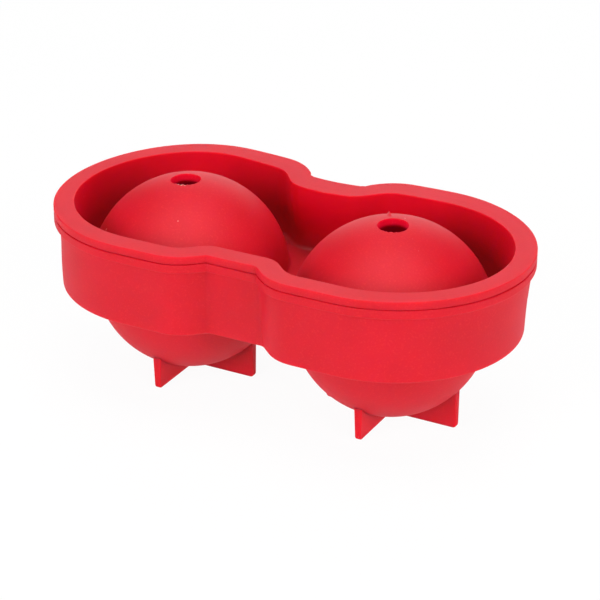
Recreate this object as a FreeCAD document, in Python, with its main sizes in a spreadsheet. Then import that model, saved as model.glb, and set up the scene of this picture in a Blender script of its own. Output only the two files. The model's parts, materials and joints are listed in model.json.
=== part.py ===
import FreeCAD, Part
import math
import os
import Sketcher

# Two-ball ice mould in silicone, made of two mouldings.  The long axis is X, +Z is up, and the
# origin lies under the middle of the mould, on the surface that the feet stand on.

doc = FreeCAD.newDocument("ice_ball_mould")

# Driving dimensions, in millimetres and degrees
SIZES = [
    ("ball_diameter", 61.0),      # inside of each round cavity
    ("ball_gap", 14.4),           # between the two cavities, where they are nearest
    ("foot_gap", 1.95),           # from the surface up to the lowest point of a lower cup
    ("lower_shell", 1.75),        # wall of the lower cups
    ("upper_shell", 3.0),         # wall of the upper domes
    ("fill_diameter", 10.0),      # filling hole in each dome
    ("dome_rise", 6.8),           # from the rim's top up to the crown of a dome, without its hole
    ("trough_gap", 2.64),         # flat floor beside a dome, between it and the trough's side wall
    ("end_offset", 0.65),         # a round end's centre lies this far outside the ball's axis
    ("waist_step", 7.4),          # how far the waist stands in from the sides of the round ends
    ("shoulder_back", 20.6),      # from a ball's axis back to where an end's side turns to the step
    ("step_angle", 42.0),         # between the long axis and the step down to the waist
    ("shoulder_radius", 17.0),    # rounding from an end's side into the step
    ("corner_radius", 1.0),       # small rounding where the step meets the waist
    ("lower_flange", 3.0),        # height of the lower moulding's flange
    ("upper_flange", 2.7),        # height of the upper moulding's flange
    ("seam_gap", 0.2),            # open line between the two flanges
    ("flange_step", 1.3),         # how far the skirt stands in under the flange
    ("draft_angle", 2.7),         # slope of all the side walls
    ("lower_wall", 3.1),          # side wall of the lower moulding
    ("upper_wall", 3.0),          # side wall of the upper moulding
    ("wall_gap", 0.3),            # between the two side walls
    ("lower_floor", 2.1),         # floor round the lower cups
    ("upper_floor", 2.6),         # floor of the filling trough
    ("foot_inset_along", 7.85),   # a foot's tip along X stands this far in from the cup's widest line
    ("foot_inset_across", 9.25),  # and a foot's tip along Y this far
    ("foot_thin", 2.0),           # thickness of a foot where it stands
    ("foot_thick", 3.0),          # thickness of a foot where it meets the cup
    ("foot_corner", 1.2),         # rounding of a foot's lower corners
    ("edge_round", 0.5),          # rounding of the flange and skirt edges
    ("wall_round_share", 0.63),   # rounding at the foot of the trough's side wall, of the trough gap
    ("dome_round_share", 0.31),   # rounding where a dome leaves the trough floor, of the trough gap
]
sizes = doc.addObject("Spreadsheet::Sheet", "sizes")
for row, (alias, value) in enumerate(SIZES, 1):
    sizes.set(f"A{row}", alias)
    sizes.set(f"B{row}", str(value))
    sizes.setAlias(f"B{row}", alias)
doc.recompute()

# Levels and widths that follow from the driving dimensions
BALL = "(sizes.ball_diameter / 2)"
CUP = f"({BALL} + sizes.lower_shell)"
DOME = f"({BALL} + sizes.upper_shell)"
BALL_AXIS = f"({BALL} + sizes.ball_gap / 2)"
SEAT = f"(sizes.foot_gap + {CUP})"
SKIRT_BOTTOM = f"({SEAT} - sizes.lower_floor)"
TROUGH_FLOOR = f"({SEAT} + sizes.upper_floor)"
RIM_TOP = f"({SEAT} + {DOME} - sizes.dome_rise)"
RIM_BOTTOM = f"({RIM_TOP} - sizes.upper_flange)"
FLANGE_TOP = f"({RIM_BOTTOM} - sizes.seam_gap)"
FLANGE_BOTTOM = f"({FLANGE_TOP} - sizes.lower_flange)"
SLOPE = "tan(sizes.draft_angle * 1 deg)"
TRAY_LAYERS = "(sizes.flange_step + sizes.lower_wall)"
PLUG_LAYERS = f"({TRAY_LAYERS} + sizes.wall_gap)"
TROUGH_LAYERS = f"({PLUG_LAYERS} + sizes.upper_wall)"


def wall_inset(layers, level):
    """How far a side wall's face stands in from the outline at a level, sloping in towards the floor."""
    return f"({layers} + ({FLANGE_BOTTOM} - {level}) * {SLOPE})"


# The outline's own sizes: room for a dome, the flat floor beside it and the walls sets the round ends
DOME_FOOT = f"sqrt({DOME} * {DOME} - sizes.upper_floor * sizes.upper_floor)"
END_RADIUS = f"({DOME_FOOT} + sizes.trough_gap + {wall_inset(TROUGH_LAYERS, TROUGH_FLOOR)})"
END_CENTRE = f"({BALL_AXIS} + sizes.end_offset)"
WAIST_HALF = f"({END_RADIUS} - sizes.waist_step)"
SHOULDER_CORNER = f"({BALL_AXIS} - sizes.shoulder_back)"


def bind(item, expressions):
    for name, text in expressions.items():
        item.setExpression(name, text)


def value(expression):
    return float(sizes.evalExpression(expression.replace("sizes.", "")))


# Outline of the mould seen from above: two round ends, joined by a narrower straight waist.  Every
# level of the mould has this outline, set in by its own distance.

# the numbers by which a sketch names a line's two ends and its own two axes
START, END = range(1, 3)
X_AXIS, Y_AXIS = range(-1, -3, -1)

end_radius = value(END_RADIUS)
end_centre = value(END_CENTRE)
waist_half = value(WAIST_HALF)
shoulder_corner = value(SHOULDER_CORNER)


def corner_points(reach, side, inset):
    """The joints of one quarter of the outline, from the waist to the round end."""
    angle = math.radians(sizes.step_angle)
    shift = inset * math.tan(angle / 2)
    step_foot = shoulder_corner - sizes.waist_step / math.tan(angle)
    near = (sizes.corner_radius + inset) * math.tan(angle / 2)
    far = (sizes.shoulder_radius - inset) * math.tan(angle / 2)
    along = FreeCAD.Vector(math.cos(angle), math.sin(angle), 0)
    waist_corner = FreeCAD.Vector(step_foot + shift, waist_half - inset, 0)
    shoulder = FreeCAD.Vector(shoulder_corner + shift, end_radius - inset, 0)
    points = [
        waist_corner - FreeCAD.Vector(near, 0, 0),
        waist_corner + along * near,
        shoulder - along * far,
        shoulder + FreeCAD.Vector(far, 0, 0),
        FreeCAD.Vector(end_centre, end_radius - inset, 0),
    ]
    return [FreeCAD.Vector(p.x * reach, p.y * side, 0) for p in points]


def arc_between(centre, radius, first, last):
    """A circle's arc, counter-clockwise from one point to another."""
    start = math.atan2(first.y - centre.y, first.x - centre.x)
    end = math.atan2(last.y - centre.y, last.x - centre.x)
    circle = Part.Circle(centre, FreeCAD.Vector(0, 0, 1), radius)
    return Part.ArcOfCircle(circle, start, end + (2 * math.pi if end <= start else 0))


def draw_quarter(sketch, reach, side, inset):
    """Corner arc, step, shoulder arc and side of one quarter; returns their numbers and arc ends."""
    waist_end, step_start, step_end, side_start, side_end = corner_points(reach, side, inset)
    turned = reach * side < 0
    corner_radius = sizes.corner_radius + inset
    shoulder_radius = sizes.shoulder_radius - inset
    corner_centre = waist_end + FreeCAD.Vector(0, side * corner_radius, 0)
    shoulder_centre = side_start - FreeCAD.Vector(0, side * shoulder_radius, 0)
    corner_ends = (step_start, waist_end) if turned else (waist_end, step_start)
    shoulder_ends = (step_end, side_start) if turned else (side_start, step_end)
    return {
        "corner": sketch.addGeometry(arc_between(corner_centre, corner_radius, *corner_ends)),
        "step": sketch.addGeometry(Part.LineSegment(step_start, step_end)),
        "shoulder": sketch.addGeometry(arc_between(shoulder_centre, shoulder_radius, *shoulder_ends)),
        "straight": sketch.addGeometry(Part.LineSegment(side_start, side_end)),
        "ends": (END, START) if turned else (START, END),
    }


def draw_outline(name, inset="0"):
    """The outline as a sketch, set in by a distance, fully tied to the sizes."""
    depth = value(inset)
    sketch = doc.addObject("Sketcher::SketchObject", name)
    quarters = {}
    for reach in (1, -1):
        for side in (1, -1):
            quarters[reach, side] = draw_quarter(sketch, reach, side, depth)
    waists = {}
    for side in (1, -1):
        left, right = corner_points(-1, side, depth)[0], corner_points(1, side, depth)[0]
        waists[side] = sketch.addGeometry(Part.LineSegment(left, right))
    round_ends = {}
    for reach in (1, -1):
        far, near = corner_points(reach, 1, depth)[-1], corner_points(reach, -1, depth)[-1]
        centre = FreeCAD.Vector(reach * end_centre, 0, 0)
        pair = (near, far) if reach > 0 else (far, near)
        round_ends[reach] = sketch.addGeometry(arc_between(centre, end_radius - depth, *pair))

    def constrain(kind, *where):
        return sketch.addConstraint(Sketcher.Constraint(kind, *where))

    def dimension(label, expression, kind, *where):
        number = constrain(kind, *where, value(expression))
        sketch.renameConstraint(number, label)
        sketch.setExpression(f"Constraints.{label}", expression)

    first = quarters[1, 1]
    constrain("Symmetric", waists[1], START, waists[1], END, Y_AXIS)
    constrain("Tangent", waists[1], END, first["corner"], START)
    constrain("Tangent", first["corner"], END, first["step"], START)
    constrain("Tangent", first["step"], END, first["shoulder"], END)
    constrain("Tangent", first["shoulder"], START, first["straight"], START)
    constrain("Horizontal", first["straight"])
    slant = constrain("Angle", first["step"], math.radians(sizes.step_angle))
    sketch.renameConstraint(slant, "slant")
    sketch.setExpression("Constraints.slant", "sizes.step_angle * 1 deg")
    shoulder_place = f"{SHOULDER_CORNER} + sizes.shoulder_radius * tan(sizes.step_angle / 2 * 1 deg)"
    dimension("waist", f"{WAIST_HALF} - {inset}", "DistanceY", X_AXIS, START, waists[1], END)
    dimension("corner", f"sizes.corner_radius + {inset}", "Radius", first["corner"])
    dimension("shoulder", f"sizes.shoulder_radius - {inset}", "Radius", first["shoulder"])
    dimension("shoulder_x", shoulder_place, "DistanceX", X_AXIS, START, first["straight"], START)
    dimension("end_x", END_CENTRE, "DistanceX", X_AXIS, START, first["straight"], END)
    dimension("end_y", f"{END_RADIUS} - {inset}", "DistanceY", X_AXIS, START, first["straight"], END)

    # the other three quarters mirror the first
    constrain("Symmetric", waists[1], START, waists[-1], START, X_AXIS)
    constrain("Symmetric", waists[1], END, waists[-1], END, X_AXIS)
    mirrored = (
        ((-1, 1), (1, 1), Y_AXIS),
        ((1, -1), (1, 1), X_AXIS),
        ((-1, -1), (-1, 1), X_AXIS),
    )
    for place, source, axis in mirrored:
        quarter, twin = quarters[place], quarters[source]
        inner, outer = quarter["ends"]
        for line in ("step", "straight"):
            for end in (START, END):
                constrain("Symmetric", twin[line], end, quarter[line], end, axis)
        constrain("Tangent", waists[place[1]], END if place[0] > 0 else START, quarter["corner"], inner)
        constrain("Coincident", quarter["corner"], outer, quarter["step"], START)
        constrain("Tangent", quarter["straight"], START, quarter["shoulder"], inner)
        constrain("Coincident", quarter["shoulder"], outer, quarter["step"], END)
    for reach, tangent_end, plain_end in ((1, END, START), (-1, START, END)):
        constrain("Tangent", quarters[reach, 1]["straight"], END, round_ends[reach], tangent_end)
        constrain("Coincident", round_ends[reach], plain_end, quarters[reach, -1]["straight"], END)
    return sketch


def slab(name, inset, bottom, height, taper="0", upward=True):
    """The outline, set in by a distance and made solid from a level up or down, with sloping sides."""
    solid = doc.addObject("Part::Extrusion", name)
    solid.Base = draw_outline(name + "_outline", inset)
    solid.DirMode = "Custom"
    solid.Dir = FreeCAD.Vector(0, 0, 1 if upward else -1)
    solid.Solid = True
    bind(solid, {"LengthFwd": height, "TaperAngle": taper, "Placement.Base.z": bottom})
    return solid


def ball(name, radius, reach, low=-90.0, high=90.0):
    """A ball, or its upper or lower half, about the centre of one cavity."""
    item = doc.addObject("Part::Sphere", name)
    item.Angle1 = low
    item.Angle2 = high
    bind(item, {
        "Radius": radius,
        "Placement.Base.x": f"{reach} * {BALL_AXIS}",
        "Placement.Base.z": SEAT,
    })
    return item


def fuse(name, items):
    item = doc.addObject("Part::MultiFuse", name)
    item.Shapes = items
    item.Refine = True
    return item


def cut(name, base, tool):
    item = doc.addObject("Part::Cut", name)
    item.Base = base
    item.Tool = tool
    item.Refine = True
    return item


def round_edges(name, base, chosen):
    """A rounding of the edges that a test picks, each with the radius that the test gives."""
    doc.recompute()
    item = doc.addObject("Part::Fillet", name)
    item.Base = base
    edges = []
    for number, edge in enumerate(base.Shape.Edges, 1):
        radius = chosen(edge)
        if radius:
            edges.append((number, radius, radius))
    item.Edges = edges
    return item


def on_level(edge, level):
    """Whether an edge lies flat at a level, to a thousandth of a millimetre."""
    box = edge.BoundBox
    return max(abs(box.ZMin - level), abs(box.ZMax - level)) < 0.001


def midpoint(edge):
    return edge.valueAt((edge.FirstParameter + edge.LastParameter) / 2)


# Lower moulding: flange, drafted skirt, floor, two half-round cups and four feet under each

def foot(name, reach, along):
    """One thin upright plate through a ball's axis, thinner where it stands, its lower corners rounded."""
    reach_out = f"({CUP} - sizes.foot_inset_{'along' if along else 'across'})"
    wall_middle = f"({BALL} + sizes.lower_shell / 2)"
    plate = doc.addObject("Part::Wedge", name + "_plate")
    turn = FreeCAD.Rotation(FreeCAD.Vector(1, 0, 0), 90)
    if not along:
        turn = FreeCAD.Rotation(FreeCAD.Vector(0, 0, 1), 90).multiply(turn)
    plate.Placement.Rotation = turn
    bind(plate, {
        "Xmin": f"-{reach_out}", "Xmax": reach_out, "X2min": f"-{reach_out}", "X2max": reach_out,
        "Ymin": "0", "Ymax": f"{SEAT} - sqrt({wall_middle} * {wall_middle} - {reach_out} * {reach_out})",
        "Zmin": "-sizes.foot_thin / 2", "Zmax": "sizes.foot_thin / 2",
        "Z2min": "-sizes.foot_thick / 2", "Z2max": "sizes.foot_thick / 2",
        "Placement.Base.x": f"{reach} * {BALL_AXIS}",
    })

    def lower_corner(edge):
        across_plate = on_level(edge, 0) and edge.Length < value(reach_out)
        return sizes.foot_corner if across_plate else None

    return round_edges(name, plate, lower_corner)


flange = slab("lower_flange_slab", "0", FLANGE_BOTTOM, "sizes.lower_flange")
skirt = slab("skirt_slab", wall_inset("sizes.flange_step", FLANGE_BOTTOM), FLANGE_BOTTOM,
             f"({FLANGE_BOTTOM} - {SKIRT_BOTTOM})", "-sizes.draft_angle", upward=False)
cups = [ball(f"cup_{side}", CUP, reach, -90.0, 0.0)
        for side, reach in (("left", -1), ("right", 1))]
feet = [foot(f"foot_{side}_{way}", reach, way == "along")
        for side, reach in (("left", -1), ("right", 1)) for way in ("along", "across")]
lower_outside = fuse("lower_outside", [flange, skirt])


def lower_edge(edge):
    """Rounds the flange's two outer edges and the skirt's bottom edge."""
    middle = midpoint(edge)
    from_outline = flange.Base.Shape.distToShape(Part.Vertex(middle.x, middle.y, 0))[0]
    rounded = (
        on_level(edge, value(FLANGE_TOP))
        or on_level(edge, value(SKIRT_BOTTOM))
        or (on_level(edge, value(FLANGE_BOTTOM)) and from_outline < sizes.flange_step / 2)
    )
    return sizes.edge_round if rounded else None


lower_rounded = round_edges("lower_rounded", lower_outside, lower_edge)
tray = slab("tray_hollow", wall_inset(TRAY_LAYERS, FLANGE_TOP), FLANGE_TOP, f"({FLANGE_TOP} - {SEAT})",
            "-sizes.draft_angle", upward=False)
lower_solid = fuse("lower_solid", [cut("lower_tray", lower_rounded, tray)] + cups + feet)
cavities = fuse("cavities", [ball(f"cavity_{side}", BALL, reach)
                             for side, reach in (("left", -1), ("right", 1))])
lower_mould = cut("lower_mould", lower_solid, cavities)
lower_mould.Label = "lower_mould"

# Upper moulding: rim, side wall that drops into the lower one, trough floor and two domes

rim = slab("rim_slab", "0", RIM_BOTTOM, "sizes.upper_flange")
plug = slab("plug_slab", wall_inset(PLUG_LAYERS, RIM_BOTTOM), RIM_BOTTOM, f"({RIM_BOTTOM} - {SEAT})",
            "-sizes.draft_angle", upward=False)
trough = slab("trough_hollow", wall_inset(TROUGH_LAYERS, RIM_TOP), RIM_TOP, f"({RIM_TOP} - {TROUGH_FLOOR})",
              "-sizes.draft_angle", upward=False)
upper_dish = cut("upper_dish", fuse("upper_outside", [rim, plug]), trough)


def rim_edge(edge):
    """Rounds both edges of the rim's top and the foot of the trough's wall."""
    if on_level(edge, value(RIM_TOP)):
        return sizes.edge_round
    if on_level(edge, value(TROUGH_FLOOR)):
        return sizes.trough_gap * sizes.wall_round_share
    return None


upper_rounded = round_edges("upper_rounded", upper_dish, rim_edge)
domes = [ball(f"dome_{side}", DOME, reach, 0.0, 90.0)
         for side, reach in (("left", -1), ("right", 1))]
upper_domed = fuse("upper_domed", [upper_rounded] + domes)


def dome_edge(edge):
    """Rounds the circle where each dome leaves the trough floor."""
    middle = midpoint(edge)
    from_axis = math.hypot(abs(middle.x) - value(BALL_AXIS), middle.y)
    round_dome = from_axis < value(DOME_FOOT) + sizes.trough_gap * sizes.dome_round_share / 2
    if on_level(edge, value(TROUGH_FLOOR)) and round_dome:
        return sizes.trough_gap * sizes.dome_round_share
    return None


upper_filleted = round_edges("upper_filleted", upper_domed, dome_edge)
holes = []
for side, reach in (("left", -1), ("right", 1)):
    hole = doc.addObject("Part::Cylinder", f"fill_hole_{side}")
    bind(hole, {
        "Radius": "sizes.fill_diameter / 2",
        "Height": DOME,
        "Placement.Base.x": f"{reach} * {BALL_AXIS}",
        "Placement.Base.z": SEAT,
    })
    holes.append(hole)
upper_mould = cut("upper_mould", upper_filleted, fuse("upper_hollows", [cavities] + holes))
upper_mould.Label = "upper_mould"

doc.recompute()
for item in doc.Objects:
    bad = [state for state in item.State if state in ("Invalid", "Error")]
    if bad:
        raise RuntimeError(f"{item.Name} failed: {bad}")

os.makedirs("parts", exist_ok=True)
for item in (lower_mould, upper_mould):
    shape = item.Shape
    if shape.isNull() or not shape.isValid() or len(shape.Solids) != 1:
        raise RuntimeError(f"{item.Label} is not one valid solid")
    shape.exportStep(f"parts/{item.Label}.step")
    box = shape.BoundBox
    print(item.Label, "volume", round(shape.Volume), "x", round(box.XMin, 2), round(box.XMax, 2),
          "y", round(box.YMin, 2), round(box.YMax, 2), "z", round(box.ZMin, 2), round(box.ZMax, 2))
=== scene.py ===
import json
import math
import random

import bmesh
import bpy
from mathutils import Matrix, Vector

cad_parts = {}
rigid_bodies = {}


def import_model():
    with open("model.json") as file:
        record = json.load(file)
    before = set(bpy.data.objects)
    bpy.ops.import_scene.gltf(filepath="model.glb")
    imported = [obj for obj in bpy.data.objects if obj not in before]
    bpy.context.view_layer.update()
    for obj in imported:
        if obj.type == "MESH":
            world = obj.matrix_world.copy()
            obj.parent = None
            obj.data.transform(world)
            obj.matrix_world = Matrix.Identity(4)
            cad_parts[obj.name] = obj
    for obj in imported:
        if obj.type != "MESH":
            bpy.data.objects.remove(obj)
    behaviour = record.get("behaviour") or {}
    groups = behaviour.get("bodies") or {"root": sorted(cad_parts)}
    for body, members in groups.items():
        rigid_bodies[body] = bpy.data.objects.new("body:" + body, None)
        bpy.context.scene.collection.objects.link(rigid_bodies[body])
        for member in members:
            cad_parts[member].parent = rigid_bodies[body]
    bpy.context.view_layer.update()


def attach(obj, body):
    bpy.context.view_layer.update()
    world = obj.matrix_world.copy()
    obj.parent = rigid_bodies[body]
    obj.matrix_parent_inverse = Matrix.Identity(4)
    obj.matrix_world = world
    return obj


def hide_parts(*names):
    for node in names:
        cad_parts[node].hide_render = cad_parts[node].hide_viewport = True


for spare in list(bpy.data.objects):
    bpy.data.objects.remove(spare)
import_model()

# The lower moulding: a flange, a drafted skirt and a floor with two half-round cups hanging from
# it, each on four thin crossed feet. It is one piece of red silicone, pressed hot in a steel tool,
# and the upper moulding is held in it by a light press fit.

mm = 0.001
touching = 0.001 * mm
same_level = 0.01 * mm
# the outline, with two round ends and a narrower straight waist, which the steps at its ends widen
end_centre, end_radius = 38.35 * mm, 44.6 * mm
waist_half = 37.2 * mm
step_angle = math.radians(42)
shoulder_x, shoulder_round = 17.1 * mm, 17.0 * mm
corner_round = 1.0 * mm
draft = math.tan(math.radians(2.7))
ball_x, ball_z, cavity_radius = 37.7 * mm, 34.2 * mm, 30.5 * mm
flange_bottom, flange_top = 55.0 * mm, 58.0 * mm
flange_step = 1.3 * mm


def swing(bm, vert, centre, axis, angle, steps):
    """Swings one vertex about a centre, drawing an arc, and returns the vertex at its far end."""
    drawn = bmesh.ops.spin(bm, geom=[vert], cent=centre, axis=axis, angle=angle, steps=steps)
    return [g for g in drawn["geom_last"] if isinstance(g, bmesh.types.BMVert)][0]


def draw_on(bm, vert, place, parts=1):
    """Draws a straight line from a vertex to a place, in equal parts, and returns its far end."""
    start, place = vert.co.copy(), Vector(place)
    for part in range(1, parts + 1):
        far = bm.verts.new(start.lerp(place, part / parts))
        bm.edges.new((vert, far))
        vert = far
    return vert


def outline_face(bm, height):
    """One flat face with the mould's outline at a height, facing up."""
    up = (0, 0, 1)
    half = math.tan(step_angle / 2)
    slant = Vector((math.cos(step_angle), math.sin(step_angle), 0))
    step_run = (end_radius - waist_half) / math.tan(step_angle)
    step_foot = Vector((shoulder_x - step_run, waist_half, height))
    shoulder = Vector((shoulder_x, end_radius, height))
    middle = bm.verts.new((0, waist_half, height))
    corner = draw_on(bm, middle, step_foot - Vector((corner_round * half, 0, 0)), 4)
    step = swing(bm, corner, corner.co + Vector((0, corner_round, 0)), up, step_angle, 6)
    turn = draw_on(bm, step, shoulder - slant * shoulder_round * half, 3)
    shoulder_centre = Vector((shoulder_x + shoulder_round * half, end_radius - shoulder_round, height))
    side = swing(bm, turn, shoulder_centre, up, -step_angle, 8)
    end = draw_on(bm, side, (end_centre, end_radius, height), 6)
    swing(bm, end, (end_centre, 0, height), up, -math.pi / 2, 28)
    for axis in ("X", "Y"):
        bmesh.ops.mirror(bm, geom=bm.verts[:] + bm.edges[:], axis=axis, merge_dist=touching)
    bmesh.ops.remove_doubles(bm, verts=bm.verts, dist=touching)
    return bmesh.ops.contextual_create(bm, geom=bm.edges[:])["faces"][0]


def outline_plate(bm, top, bottom):
    """A plate with the mould's outline; gives its top and bottom faces."""
    upper = outline_face(bm, top)
    pushed = bmesh.ops.extrude_face_region(bm, geom=[upper], use_keep_orig=True)
    under = [g for g in pushed["geom"] if isinstance(g, bmesh.types.BMFace)][0]
    bmesh.ops.translate(bm, verts=under.verts[:], vec=(0, 0, bottom - top))
    bmesh.ops.recalc_face_normals(bm, faces=bm.faces)
    return upper, under


def step_in(bm, face, inward, onward, rings=1):
    """Sets a face in from its edge and moves it on, with rings of wall behind it; gives its old edge."""
    edge = list(face.edges)
    for _ in range(rings):
        bmesh.ops.inset_region(bm, faces=[face], thickness=inward / rings, depth=onward / rings,
                               use_even_offset=True)
    return edge


def soften(bm, edges, radius, segments=4):
    """Rounds a run of edges."""
    bmesh.ops.bevel(bm, geom=edges, offset=radius, offset_type="OFFSET", segments=segments, profile=0.5,
                    affect="EDGES", material=-1, clamp_overlap=False)


def open_level(bm, height):
    """Takes away the wide flat face at a height, so that round shapes can be let into it."""
    level = [f for f in bm.faces if all(abs(v.co.z - height) < same_level for v in f.verts)]
    bmesh.ops.delete(bm, geom=[max(level, key=lambda f: f.calc_area())], context="FACES_ONLY")


def close_level(bm, height):
    """Fills the flat region between the open edges at a height."""
    open_edges = [e for e in bm.edges if e.is_boundary]
    rims = [e for e in open_edges if all(abs(v.co.z - height) < same_level for v in e.verts)]
    bmesh.ops.triangle_fill(bm, use_beauty=True, use_dissolve=False, edges=rims, normal=(0, 0, 1))


def add_shape(bm, shape):
    """Puts one finished shape with another."""
    carried = bpy.data.meshes.new("carried")
    shape.to_mesh(carried)
    shape.free()
    bm.from_mesh(carried)
    bpy.data.meshes.remove(carried)


def spin_round(bm, profile, side, steps=96):
    """Spins a profile about the upright axis of one ball and adds it."""
    bmesh.ops.spin(profile, geom=profile.verts[:] + profile.edges[:], cent=(side * ball_x, 0, 0),
                   axis=(0, 0, 1), angle=2 * math.pi, steps=steps, use_merge=True)
    bmesh.ops.remove_doubles(profile, verts=profile.verts, dist=touching)
    add_shape(bm, profile)


def inset_at(layers, height):
    """How far a sloping wall's face stands in from the outline at a height."""
    return layers + (flange_bottom - height) * draft


def smooth(value, low, high):
    """0 below one value, 1 above the other, and smooth between."""
    share = min(1, max(0, (value - low) / (high - low)))
    return share * share * (3 - 2 * share)


def nearness(x, y, middle, reach):
    """1 at a place seen from above, falling away over its reach."""
    return math.exp(-((x - middle[0]) ** 2 + (y - middle[1]) ** 2) / (2 * reach ** 2))


def settle(bm):
    """Leans the soft side walls and rims a little out of true; the floors stay flat."""
    # each pull is a place seen from above, its reach, and how far it moves the silicone, in millimetres
    whole_pulls = (
        ((-84, 0), 34, (0.75, 0, 0)),
        ((84, 0), 34, (0.9, 0, 0)),
        ((-50, 43), 26, (0, 0, 1.6)),
        ((38, 45), 20, (0, 0, 0.5)),
        ((-2, 33), 13, (-0.8, -2.6, -0.2)),
    )
    inner_pulls = (
        ((-84, 0), 30, (-1.0, 0, 0)),
        ((84, -8), 30, (0.8, -0.3, 0)),
        ((-26, 38), 14, (0, -1.2, 0)),
        ((0, 30), 12, (-0.6, -2.0, 0)),
        ((34, 38), 20, (0, -1.7, 0)),
    )
    skirt_end, skirt_reach, skirt_pull = (-84, 0), 28, 1.1
    dome_shift = Vector((0.35, -0.4, 0)) * mm
    waist_reach, dome_reach = 10, 34
    for vert in bm.verts:
        x, y, z = vert.co / mm
        along = max(0, abs(x) - end_centre / mm)
        depth = (waist_half if abs(x) < waist_reach else end_radius) / mm - math.hypot(along, y)
        # the walls start outside the domes, and above the floors
        walls = smooth(math.hypot(abs(x) - ball_x / mm, y), 34.5, 36.5) * smooth(z, 40, 57)
        for pulls, share in ((whole_pulls, walls), (inner_pulls, walls * smooth(depth, 5.8, 7.0))):
            for middle, reach, move in pulls:
                vert.co += Vector(move) * mm * share * nearness(x, y, middle, reach)
        # the skirt's outer face lies between these depths, its inner face and the cups deeper
        on_skirt = z < flange_bottom / mm + 0.1 and 0.9 < depth < 4.2
        if on_skirt:
            vert.co.x += skirt_pull * mm * nearness(x, y, skirt_end, skirt_reach) * smooth(z, 33, 50)
        if x > 0 and math.hypot(x - ball_x / mm, y) < dome_reach:
            vert.co += dome_shift * smooth(z, 38, 46)


def finished(name, bm, body, node, material, painted_sheen_at):
    """Makes the piece, lets it ride on its body in place of its CAD node, and dresses it."""
    bmesh.ops.remove_doubles(bm, verts=bm.verts, dist=2 * touching)
    bmesh.ops.recalc_face_normals(bm, faces=bm.faces)
    bm.normal_update()
    # each vertex's share of the painted sheen, which is low where shade falls
    painted_sheen = bm.verts.layers.float.new("painted_sheen")
    for vert in bm.verts:
        vert[painted_sheen] = painted_sheen_at(vert)
    for face in bm.faces:
        face.smooth = True
    mesh = bpy.data.meshes.new(name)
    bm.to_mesh(mesh)
    bm.free()
    piece = bpy.data.objects.new(name, mesh)
    bpy.context.scene.collection.objects.link(piece)
    weigh = piece.modifiers.new("level_shading", "WEIGHTED_NORMAL")
    weigh.mode = "FACE_AREA"
    mesh.materials.append(material)
    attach(piece, body)
    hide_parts(node)


class Channel:
    """A socket of a material's nodes, on which plain sums can be written."""

    def __init__(self, tree, socket=None):
        self.tree = tree
        self.socket = socket

    def node(self, kind, settings, sockets, output=0):
        made = self.tree.nodes.new(kind)
        for name, setting in settings.items():
            setattr(made, name, setting)
        for name, value in sockets.items():
            if isinstance(value, Channel):
                self.tree.links.new(value.socket, made.inputs[name])
            else:
                made.inputs[name].default_value = value
        return Channel(self.tree, made.outputs[output] if made.outputs else None)

    def sum(self, operation, first, second):
        return self.node("ShaderNodeMath", {"operation": operation}, {0: first, 1: second})

    def __add__(self, other):
        return self.sum("ADD", self, other)

    __radd__ = __add__

    def __mul__(self, other):
        return self.sum("MULTIPLY", self, other)

    __rmul__ = __mul__

    def __sub__(self, other):
        return self.sum("SUBTRACT", self, other)

    def __rsub__(self, other):
        return self.sum("SUBTRACT", other, self)

    def within(self, low, high):
        """0 below one value, 1 above the other, and smooth between."""
        return self.node("ShaderNodeMapRange", {"interpolation_type": "SMOOTHSTEP"},
                         {"Value": self, "From Min": low, "From Max": high})

    def tint(self, share, colour):
        """This colour, turned to another by a share."""
        return self.node("ShaderNodeMix", {"data_type": "RGBA"},
                         {0: share, 6: self, 7: colour}, output=2)


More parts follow.
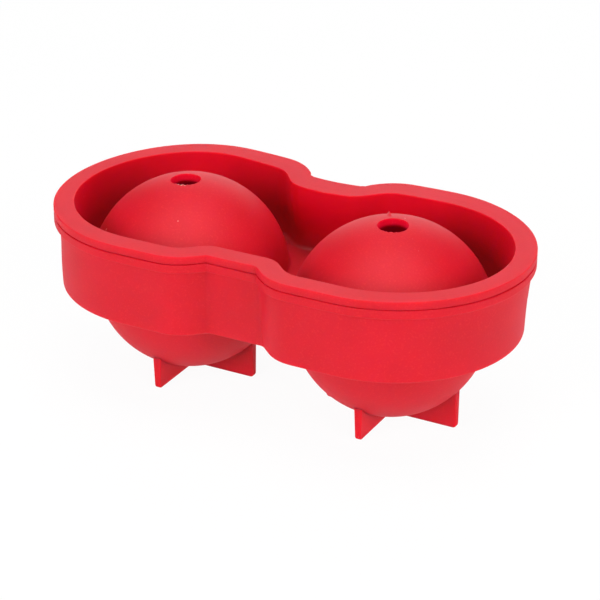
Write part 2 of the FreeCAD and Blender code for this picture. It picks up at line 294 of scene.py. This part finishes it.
def silicone(name):
    """Matt silicone, coloured right through: an even red with a fine grain, a pale painted sheen on that
    grain, lint, and a painted glow where the walls let light through.
    """
    material = bpy.data.materials.new(name)
    material.use_nodes = True
    tree = material.node_tree
    tree.nodes.clear()
    base = Channel(tree)
    place = base.node("ShaderNodeTexCoord", {}, {}, output="Object")

    def noise(scale, detail, roughness=0.5):
        return base.node("ShaderNodeTexNoise", {}, {
            "Vector": place, "Scale": scale, "Detail": detail, "Roughness": roughness})

    def blend(share, first, second):
        return base.node("ShaderNodeMix", {"data_type": "RGBA"},
                         {0: share, 6: first, 7: second}, output=2)

    def within_reach(middle, reach):
        """1 near a place, fading out at its reach, in millimetres."""
        away = base.node("ShaderNodeVectorMath", {"operation": "DISTANCE"},
                         {0: place, 1: Vector(middle) * mm}, output="Value")
        return 1 - away.within((reach - 0.1) * mm, (reach + 0.1) * mm)

    clouds = noise(60.0, 4.0, 0.55)
    grain = noise(1500.0, 2.0, 0.6)
    deep, bright = (0.54, 0.0, 0.011, 1), (0.58, 0.0, 0.013, 1)
    pale_painted_sheen = (0.66, 0.022, 0.026, 1)
    colour = blend(clouds.within(0.3, 0.7), deep, bright)
    painted_sheen = base.node("ShaderNodeAttribute", {"attribute_name": "painted_sheen"}, {}, output="Fac")
    # a painted sheen: the fine grain's pale highlights painted into the colour, left out by a per-vertex
    # share where shade falls
    colour = colour.tint(grain.within(0.5, 0.75) * 0.5 * painted_sheen, pale_painted_sheen)

    dust = base.node("ShaderNodeTexVoronoi", {}, {"Vector": place, "Scale": 260.0}, output="Distance")
    speck = (1 - dust.within(0.02, 0.06)) * noise(90.0, 1.0).within(0.70, 0.74)
    colour = colour.tint(speck * 0.35, (0.85, 0.45, 0.42, 1))
    lint = (
        ((-58.1, -19.2, 52.5), 0.4), ((-30.4, -18.7, 61.0), 0.22), ((36.3, -24.7, 56.8), 0.22),
        ((77.9, -16.4, 48.8), 0.3), ((77.7, -16.8, 49.3), 0.22), ((-38.4, -47.4, 60.9), 0.2),
        ((39.5, 5.2, 67.2), 0.25),
    )
    torn_edge = (
        ((-36.0, -4.8, 67.3), 0.35), ((-37.2, -5.1, 67.3), 0.42), ((-38.5, -5.0, 67.3), 0.35),
    )
    for middle, reach in lint + torn_edge:
        colour = colour.tint(within_reach(middle, reach) * 0.5, (0.86, 0.42, 0.36, 1))

    # a painted glow for the light that the walls let through, inside the cavities and round the pouring
    # holes
    inside = within_reach((-37.7, 0, 34.2), 30.6) + within_reach((37.7, 0, 34.2), 30.6)
    hole_walls = within_reach((-38.4, -0.3, 66.3), 5.2) + within_reach((38.8, -1.9, 66.3), 5.2)
    painted_glow = blend(inside, (0, 0, 0, 1), (0.035, 0.0, 0.002, 1))
    painted_glow = painted_glow.tint(hole_walls, (0.16, 0.0, 0.008, 1))

    height = grain * 0.00007 + clouds * 0.0001
    shader = base.node("ShaderNodeBsdfPrincipled", {}, {
        "Base Color": colour,
        "Roughness": 0.62 + (grain - 0.5) * 0.10,
        "IOR": 1.42,
        "Subsurface Weight": 0.8,
        "Subsurface Radius": (1.0, 0.04, 0.07),
        "Subsurface Scale": 0.005,
        "Emission Color": painted_glow,
        "Emission Strength": 1.0,
        "Normal": base.node("ShaderNodeBump", {}, {"Strength": 0.6, "Distance": 1.0, "Height": height}),
    })
    base.node("ShaderNodeOutputMaterial", {}, {"Surface": shader})
    return material


red = silicone("red_silicone")

skirt_bottom = 32.1 * mm
tray_wall = 4.4 * mm
cup_radius = 32.25 * mm
foot_thin, foot_thick = 2.0 * mm, 3.0 * mm
foot_reaches = ((24.4 * mm, 23.1 * mm), (23.0 * mm, 23.0 * mm))
foot_corner, foot_edge = 1.2 * mm, 0.3 * mm
flange_round, skirt_round, tray_round = 0.45 * mm, 0.7 * mm, 0.8 * mm

bm = bmesh.new()
tray, under = outline_plate(bm, flange_top, flange_bottom)
flange_rim = step_in(bm, tray, inset_at(tray_wall, flange_top), 0)
tray_mouth = step_in(bm, tray, (flange_top - ball_z) * draft, ball_z - flange_top, 6)
tray_corner = list(tray.edges)
flange_foot = step_in(bm, under, flange_step, 0)
skirt_root = step_in(bm, under, (flange_bottom - skirt_bottom) * draft, flange_bottom - skirt_bottom, 6)
skirt_edge = list(under.edges)
soften(bm, flange_rim + tray_mouth, flange_round)
soften(bm, flange_foot + skirt_root, flange_round)
soften(bm, skirt_edge, skirt_round)
soften(bm, tray_corner, tray_round)
open_level(bm, ball_z)
open_level(bm, skirt_bottom)

cup_fillet = 0.5 * mm
cup_mouth = math.asin((ball_z - skirt_bottom + cup_fillet) / (cup_radius + cup_fillet))
for side in (-1, 1):
    ball = Vector((side * ball_x, 0, ball_z))
    inside = bmesh.new()
    mouth = inside.verts.new(ball + Vector((cavity_radius, 0, 0)))
    swing(inside, mouth, ball, (0, 1, 0), math.pi / 2, 30)
    spin_round(bm, inside, side)
    outside = bmesh.new()
    fillet = ball + (cup_radius + cup_fillet) * Vector((math.cos(cup_mouth), 0, -math.sin(cup_mouth)))
    start = outside.verts.new((fillet.x, 0, skirt_bottom))
    on_cup = swing(outside, start, fillet, (0, 1, 0), -(math.pi / 2 - cup_mouth), 4)
    swing(outside, on_cup, ball, (0, 1, 0), math.pi / 2 - cup_mouth, 30)
    spin_round(bm, outside, side)
    wall_middle = (cavity_radius + cup_radius) / 2
    for number, (reach, left_reach) in enumerate(foot_reaches):
        foot = bmesh.new()
        top, left_top = math.acos(reach / wall_middle), math.acos(left_reach / wall_middle)
        root = foot.verts.new((reach, 0, ball_z - wall_middle * math.sin(top)))
        swing(foot, root, (0, 0, ball_z), (0, 1, 0), math.pi - top - left_top, 30)
        left = min(foot.verts, key=lambda v: v.co.x)
        corners = [foot.verts.new((x, 0, 0)) for x in (-left_reach, reach)]
        for pair in ((left, corners[0]), corners, (corners[1], root)):
            foot.edges.new(pair)
        bmesh.ops.contextual_create(foot, geom=foot.edges[:])
        bmesh.ops.bevel(foot, geom=corners, offset=foot_corner, offset_type="OFFSET", segments=5,
                        profile=0.5, affect="VERTICES", material=-1)
        second = bmesh.ops.extrude_face_region(foot, geom=foot.faces[:], use_keep_orig=True)
        for vert in foot.verts:
            vert.co.y = -1
        for item in second["geom"]:
            if isinstance(item, bmesh.types.BMVert):
                item.co.y = 1
        foot_height = ball_z - wall_middle * math.sin(top)
        for vert in foot.verts:
            share = min(1, vert.co.z / foot_height)
            vert.co.y *= (foot_thin + (foot_thick - foot_thin) * share) / 2
        bmesh.ops.recalc_face_normals(foot, faces=foot.faces)
        sharp = [e for e in foot.edges if e.calc_face_angle(0) > 1.0]
        soften(foot, sharp, foot_edge, 3)
        stand = Matrix.Translation((side * ball_x, 0, 0)) @ Matrix.Rotation(number * math.pi / 2, 4, "Z")
        bmesh.ops.transform(foot, matrix=stand, verts=foot.verts)
        add_shape(bm, foot)
close_level(bm, ball_z)
close_level(bm, skirt_bottom)
settle(bm)


def lower_painted_sheen(vert):
    """Little painted sheen on the feet, which sit in shade, and all of it elsewhere."""
    x, y, z = vert.co
    from_ball = math.hypot(abs(x) - ball_x, y, z - ball_z)
    on_foot = z < 20 * mm and from_ball > cup_radius + 0.1 * mm
    return 0.35 if on_foot else 1.0


finished("lower_moulding", bm, "lower", "lower_mould", red, lower_painted_sheen)

# The upper moulding: a rim, a side wall that drops into the lower one, a trough floor and two
# domes, each with its pouring hole. It is one piece of the same silicone, pressed in a tool of its
# own, and lifts straight off.

rim_bottom, rim_top = 58.2 * mm, 60.9 * mm
trough_floor = 36.8 * mm
plug_wall, trough_wall = 4.7 * mm, 7.7 * mm
dome_radius, hole_radius = 33.5 * mm, 5.0 * mm
dome_foot, hole_lip = 1.0 * mm, 0.1 * mm
rim_round, plug_root_round = 0.3 * mm, 0.35 * mm
trough_round, plug_round = 1.5 * mm, 0.7 * mm
# how each dome's crown leans, as the axis and angle of a turn
crown_leans = {-1: (Vector((0.3, -0.75, 0)), 0.024), 1: (Vector((1.5, 0.8, 0)), 0.05)}
torn_deep = {-1: 0.9 * mm, 1: 0.5 * mm}
sliver_foot, sliver_lean = Vector((32.9, 6.9, 66.9)) * mm, Vector((-0.1, 0.1, 1.3)) * mm

bm = bmesh.new()
trough, plug = outline_plate(bm, rim_top, rim_bottom)
rim_outside = step_in(bm, trough, inset_at(trough_wall, rim_top), 0)
rim_inside = step_in(bm, trough, (rim_top - trough_floor) * draft, trough_floor - rim_top, 8)
trough_corner = list(trough.edges)
rim_foot = step_in(bm, plug, inset_at(plug_wall, rim_bottom), 0)
plug_root = step_in(bm, plug, (rim_bottom - ball_z) * draft, rim_bottom - ball_z, 6)
plug_edge = list(plug.edges)
soften(bm, rim_outside + rim_inside, rim_round, 3)
soften(bm, rim_foot + plug_root, plug_root_round)
soften(bm, trough_corner, trough_round, 6)
soften(bm, plug_edge, plug_round)
open_level(bm, trough_floor)
open_level(bm, ball_z)

for side in (-1, 1):
    ball = Vector((side * ball_x, 0, ball_z))
    profile = bmesh.new()
    mouth = profile.verts.new(ball + Vector((cavity_radius, 0, 0)))
    inner = swing(profile, mouth, ball, (0, 1, 0), -math.acos(hole_radius / cavity_radius), 28)
    lip_reach = dome_radius - hole_lip
    lip_angle = math.acos((hole_radius + hole_lip) / lip_reach)
    lip_centre = ball + Vector((lip_reach * math.cos(lip_angle), 0, lip_reach * math.sin(lip_angle)))
    hole_edge = draw_on(profile, inner, lip_centre - Vector((hole_lip, 0, 0)), 3)
    crown = swing(profile, hole_edge, lip_centre, (0, 1, 0), math.pi - lip_angle, 5)
    foot_reach = dome_radius + dome_foot
    foot_rise = math.asin((trough_floor - ball_z + dome_foot) / foot_reach)
    foot_centre = ball + Vector((foot_reach * math.cos(foot_rise), 0, foot_reach * math.sin(foot_rise)))
    low = swing(profile, crown, ball, (0, 1, 0), lip_angle - foot_rise, 30)
    swing(profile, low, foot_centre, (0, 1, 0), -(math.pi / 2 - foot_rise), 5)
    spin_round(bm, profile, side)
    # the near part of the hole's edge is torn a little, and the whole crown leans
    ragged = random.Random(3)
    lean_axis, lean = crown_leans[side]
    for vert in bm.verts:
        out = vert.co - ball
        away = math.hypot(out.x, out.y)
        if out.z < 24 * mm or away > 20 * mm:
            continue
        at_edge = abs(away - hole_radius) < same_level and abs(vert.co.z - lip_centre.z) < same_level
        if at_edge and -115 < math.degrees(math.atan2(out.y, out.x)) < -30:
            torn = ragged.choice((0.0, 0.0, 0.3, 0.7)) * torn_deep[side]
            out -= Vector((out.x, out.y, 0)).normalized() * torn - Vector((0, 0, 0.3 * torn))
        turn = Matrix.Rotation(lean * (1 - smooth(away / mm, 7, 18)), 3, lean_axis)
        vert.co = ball + turn @ out
sliver = min(bm.verts, key=lambda v: (v.co - sliver_foot).length)
sliver.co += sliver_lean
close_level(bm, trough_floor)
close_level(bm, ball_z)
settle(bm)


def upper_painted_sheen(vert):
    """How much painted sheen a place takes: none down in the trough, where shade falls; it fades out
    down a dome's side and is missing on the walls.
    """
    x, y, z = vert.co / mm
    if math.hypot(abs(x) - ball_x / mm, y) < dome_radius / mm + 0.4:
        return smooth(z, 40, 56)
    from_middle = Vector((math.copysign(max(0, abs(x) - end_centre / mm), x), y, 0))
    return 0.0 if vert.normal.dot(from_middle) < -0.5 or z < 39 else 1.0


finished("upper_moulding", bm, "upper", "upper_mould", red, upper_painted_sheen)

# The room: a wide sheet of matt white paper that runs into a white surround, broad soft lamps in
# front, behind and overhead, two that only add sheen, and the camera. It is no part of the mould.

floor = bmesh.new()
bmesh.ops.create_grid(floor, x_segments=1, y_segments=1, size=6.0)
floor_mesh = bpy.data.meshes.new("floor")
floor.to_mesh(floor_mesh)
floor.free()
floor_piece = bpy.data.objects.new("floor", floor_mesh)
bpy.context.scene.collection.objects.link(floor_piece)
paper = bpy.data.materials.new("paper")
paper.use_nodes = True
paper.node_tree.nodes.clear()
sheet = Channel(paper.node_tree)
seen = sheet.node("ShaderNodeLightPath", {}, {}, output="Is Camera Ray")
matt = sheet.node("ShaderNodeBsdfDiffuse", {}, {"Color": (0.86, 0.86, 0.86, 1)})
glow = sheet.node("ShaderNodeEmission", {}, {"Color": (1, 1, 1, 1), "Strength": 1.0})
whole = sheet.node("ShaderNodeMixShader", {}, {0: seen * 0.45 + 0.5, 1: matt, 2: glow})
sheet.node("ShaderNodeOutputMaterial", {}, {"Surface": whole})
floor_mesh.materials.append(paper)

world = bpy.data.worlds.new("surround")
bpy.context.scene.world = world
world.use_nodes = True
world.node_tree.nodes.clear()
sky = Channel(world.node_tree)


def surround(strength):
    return sky.node("ShaderNodeBackground", {}, {"Color": (1, 1, 1, 1), "Strength": strength})


seen = sky.node("ShaderNodeLightPath", {}, {}, output="Is Camera Ray")
mirrored = sky.node("ShaderNodeLightPath", {}, {}, output="Is Glossy Ray")
lighting = sky.node("ShaderNodeMixShader", {}, {0: mirrored, 1: surround(0.02), 2: surround(0.08)})
backdrop = sky.node("ShaderNodeMixShader", {}, {0: seen, 1: lighting, 2: surround(1.0)})
sky.node("ShaderNodeOutputWorld", {}, {"Surface": backdrop})


def lamp(name, place, aim, size, power, sheen):
    """A round soft lamp, which gives either the sheen alone or all the light but the sheen."""
    soft = bpy.data.lights.new(name, "AREA")
    soft.shape = "DISK"
    soft.size = size
    soft.energy = power
    holder = bpy.data.objects.new(name, soft)
    bpy.context.scene.collection.objects.link(holder)
    holder.visible_glossy = sheen
    holder.visible_diffuse = not sheen
    towards = (Vector(aim) - Vector(place)).to_track_quat("-Z", "Y").to_matrix().to_4x4()
    holder.matrix_world = Matrix.Translation(place) @ towards


lamp("front_left", (-0.4, -1.08, 0.54), (0, 0, 0.03), 0.8, 12.2, sheen=False)
lamp("front_right", (1.12, -0.4, 0.52), (0, 0, 0.03), 0.9, 12.7, sheen=False)
lamp("back", (-0.4, 1.0, 0.75), (0, 0, 0.05), 1.3, 7.4, sheen=False)
lamp("overhead", (0.05, 0.0, 1.3), (0, 0, 0.03), 0.9, 9.4, sheen=False)
lamp("sheen_back", (-0.5, 1.1, 0.36), (0, 0, 0.05), 1.0, 5.3, sheen=True)
lamp("sheen_overhead", (0.12, -0.35, 1.2), (0, 0, 0.03), 1.6, 21.0, sheen=True)

camera_data = bpy.data.cameras.new("camera")
camera_data.lens = 132.0
camera_data.sensor_width = 36.0
camera_data.clip_start = 0.01
camera_data.clip_end = 50.0
camera = bpy.data.objects.new("camera", camera_data)
bpy.context.scene.collection.objects.link(camera)
camera_place = Vector((0.31739465, -0.57305377, 0.34514363))
camera_right = Vector((0.87824231, 0.47820616, -0.00305278))
camera_up = Vector((-0.20400872, 0.38042752, 0.90202846))
camera_back = Vector((0.43251693, -0.79157676, 0.43166577))
camera_turn = Matrix((camera_right, camera_up, camera_back)).transposed().to_4x4()
camera.matrix_world = Matrix.Translation(camera_place) @ camera_turn
bpy.context.scene.camera = camera
bpy.context.scene.view_settings.view_transform = "Standard"
